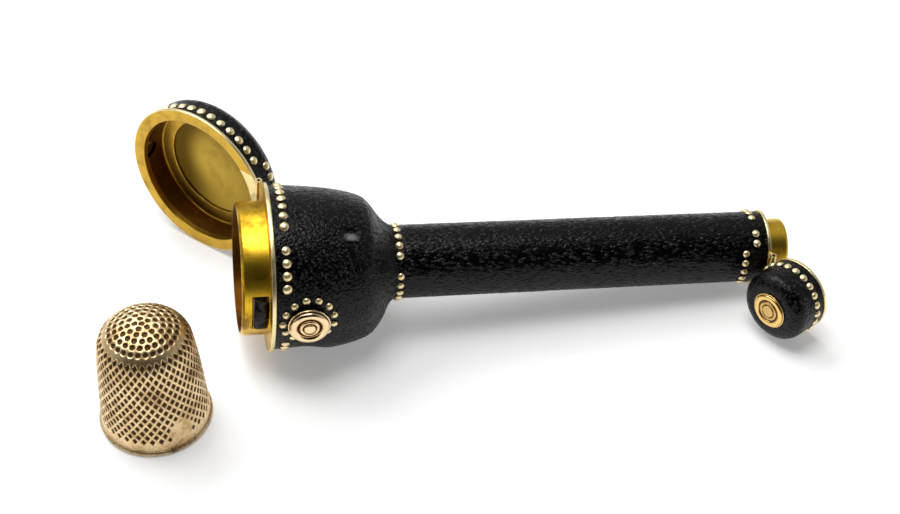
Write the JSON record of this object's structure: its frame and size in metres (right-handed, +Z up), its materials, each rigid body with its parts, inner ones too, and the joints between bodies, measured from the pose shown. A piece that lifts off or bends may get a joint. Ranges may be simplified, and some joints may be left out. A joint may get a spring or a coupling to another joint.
{
  "type": "sewing etui",
  "caption": "Leather-covered sewing etui: studded bell with thimble well and hinged lid, needle tube with hinged end cap, push-button catch, and a loose thimble.",
  "frame": {"origin": "middle of the footprint on the table that the etui and its thimble rest on", "axes": "+X along the etui from the mouth to the tube's end, +Y to the back, where the lid hangs open, +Z up"},
  "size_m": [0.1137, 0.0572, 0.0264],
  "materials": {
    "leather": "grained, satin",
    "wood": "turned",
    "brass": "polished, aged",
    "stud_brass": "polished",
    "turned_brass": "turned",
    "thimble_brass": "antique",
    "steel": "dull"
  },
  "bodies": {
    "etui": {"bell_core": "wood", "tube_core": "wood", "bell_leather": "leather", "tube_leather": "leather", "mouth_collar": "brass", "thimble_well": "brass", "needle_sleeve": "brass", "end_collar": "brass", "bell_rim_studs": "stud_brass", "button_ring_studs": "stud_brass", "waist_studs": "stud_brass", "tube_end_studs": "stud_brass", "lid_hinge_body_leaf": "brass", "lid_hinge_pin": "steel", "cap_hinge_body_leaf": "brass", "cap_hinge_pin": "steel", "button_bush": "brass", "catch_rivet": "brass"},
    "lid": {"lid_core": "wood", "lid_leather": "leather", "lid_rim": "brass", "lid_dish": "brass", "lid_studs": "stud_brass", "lid_hinge_lid_leaf": "brass"},
    "cap": {"cap_core": "wood", "cap_leather": "leather", "cap_rim": "brass", "cap_boss": "turned_brass", "cap_studs": "stud_brass", "cap_hinge_cap_leaf": "brass"},
    "button": {"push_button": "turned_brass"},
    "catch": {"catch_spring": "steel"},
    "thimble": {"thimble": "thimble_brass"}
  },
  "joints": [
    {"name": "lid_hinge", "type": "hinge", "parent": "etui", "child": "lid", "pos_m": [-0.02945, 0.00808, 0.01272], "axis": [0.0921, 0.0391, 0.995], "range_deg": [0, 132.7]},
    {"name": "cap_hinge", "type": "hinge", "parent": "etui", "child": "cap", "pos_m": [0.05038, -0.01018, 0.00605], "axis": [0.0921, 0.0391, 0.995], "range_deg": [0, 146.4]},
    {"name": "button_press", "type": "slide", "parent": "etui", "child": "button", "axis": [-0.0036, 0.9992, -0.0389], "range_m": [0, 0.0004], "stiffness_N_per_m": 300},
    {"name": "catch_flex", "type": "hinge", "parent": "etui", "child": "catch", "pos_m": [-0.01687, -0.01368, 0.01241], "axis": [-0.0921, -0.0391, -0.995], "range_deg": [0, 3.4]},
    {"name": "thimble_lift", "type": "slide", "parent": "etui", "child": "thimble", "axis": [0, 0, 1], "range_m": [0, 0.04]}
  ],
  "couplings": [
    {"joint": "catch_flex", "follows": "button_press", "rad_per_m": 144.93}
  ]
}
